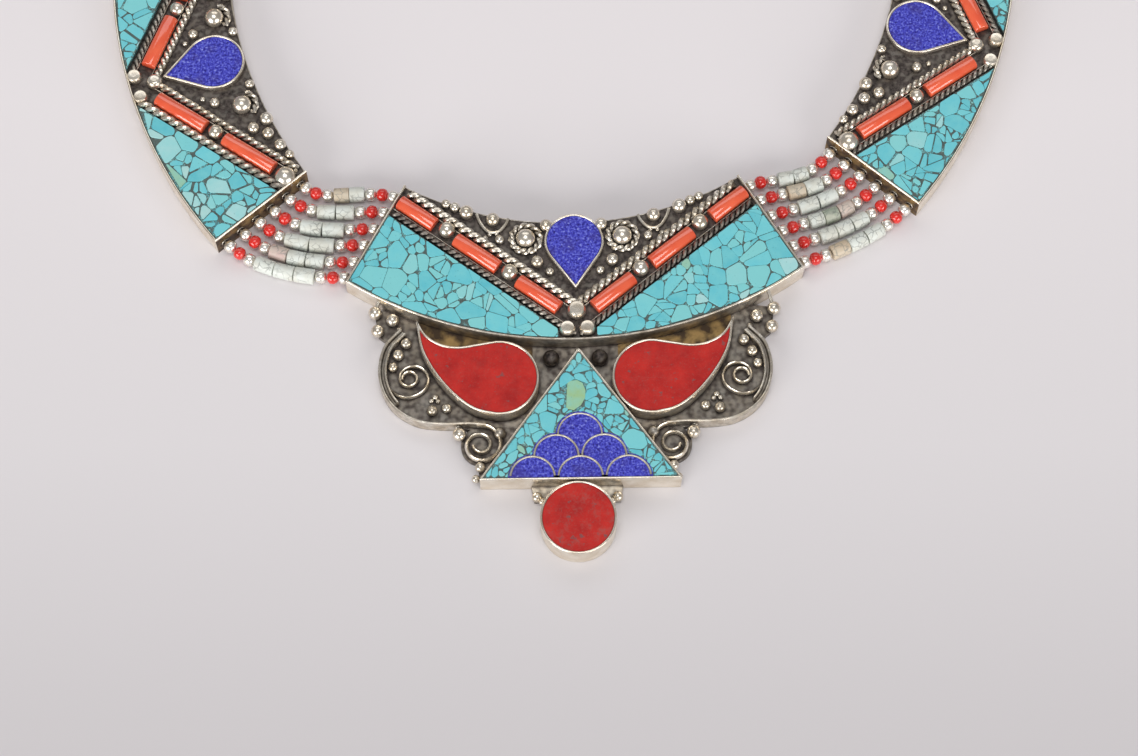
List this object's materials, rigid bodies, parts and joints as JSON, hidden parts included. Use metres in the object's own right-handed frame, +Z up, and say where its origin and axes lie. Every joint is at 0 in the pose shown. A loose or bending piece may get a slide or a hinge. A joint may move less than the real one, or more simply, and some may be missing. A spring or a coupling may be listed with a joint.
{
  "type": "bib necklace",
  "caption": "Collar necklace of inlaid silver plates with a scrolled pendant, joined by strands of small beads and closed by a bar clasp; it lies flat as on a table.",
  "frame": {"origin": "middle of the underside of the whole necklace as it lies, which is inside the open neck", "axes": "+Z up from the table, +Y from the pendant to the clasp, +X to the right as seen from the front"},
  "size_m": [0.2016, 0.2274, 0.0073],
  "materials": {
    "silver": "hand polished silver with dark oxidised recesses",
    "oxidised_silver": "blackened silver in the recesses",
    "turquoise": "polished turquoise chips in dark cement",
    "cement": "dark brown cement between the chips",
    "coral": "polished orange-red coral",
    "red_inlay": "deep red inlay with small grey pits",
    "lapis": "granular lapis",
    "beads": "silver, red and pale howlite beads in turn",
    "howlite": "pale howlite with grey veins",
    "red_bead": "glossy red",
    "silver_bead": "bright polished",
    "thread": "waxed bead thread"
  },
  "bodies": {
    "root": {"centre_body": "silver", "left_body": "silver", "right_body": "silver", "clasp": "silver", "centre_turquoise_a": "turquoise", "centre_turquoise_b": "turquoise", "left_turquoise_a": "turquoise", "left_turquoise_b": "turquoise", "right_turquoise_a": "turquoise", "right_turquoise_b": "turquoise", "pendant_turquoise": "turquoise", "centre_coral_rod_a1": "coral", "centre_coral_rod_a2": "coral", "centre_coral_rod_a3": "coral", "centre_coral_rod_b1": "coral", "centre_coral_rod_b2": "coral", "centre_coral_rod_b3": "coral", "left_coral_rod_a1": "coral", "left_coral_rod_a2": "coral", "left_coral_rod_b1": "coral", "left_coral_rod_b2": "coral", "right_coral_rod_a1": "coral", "right_coral_rod_a2": "coral", "right_coral_rod_b1": "coral", "right_coral_rod_b2": "coral", "centre_lapis_drop": "lapis", "left_lapis_drop": "lapis", "right_lapis_drop": "lapis", "pendant_lapis_scales": "lapis", "paisley_coral_left": "red_inlay", "paisley_coral_right": "red_inlay", "pendant_coral_disc": "red_inlay", "left_strand_1": "beads", "left_strand_2": "beads", "left_strand_3": "beads", "left_strand_4": "beads", "left_strand_5": "beads", "left_strand_6": "beads", "left_back_strand_1": "beads", "left_back_strand_2": "beads", "left_back_strand_3": "beads", "left_back_strand_4": "beads", "left_back_strand_5": "beads", "left_back_strand_6": "beads", "right_strand_1": "beads", "right_strand_2": "beads", "right_strand_3": "beads", "right_strand_4": "beads", "right_strand_5": "beads", "right_strand_6": "beads", "right_back_strand_1": "beads", "right_back_strand_2": "beads", "right_back_strand_3": "beads", "right_back_strand_4": "beads", "right_back_strand_5": "beads", "right_back_strand_6": "beads"}
  },
  "joints": []
}
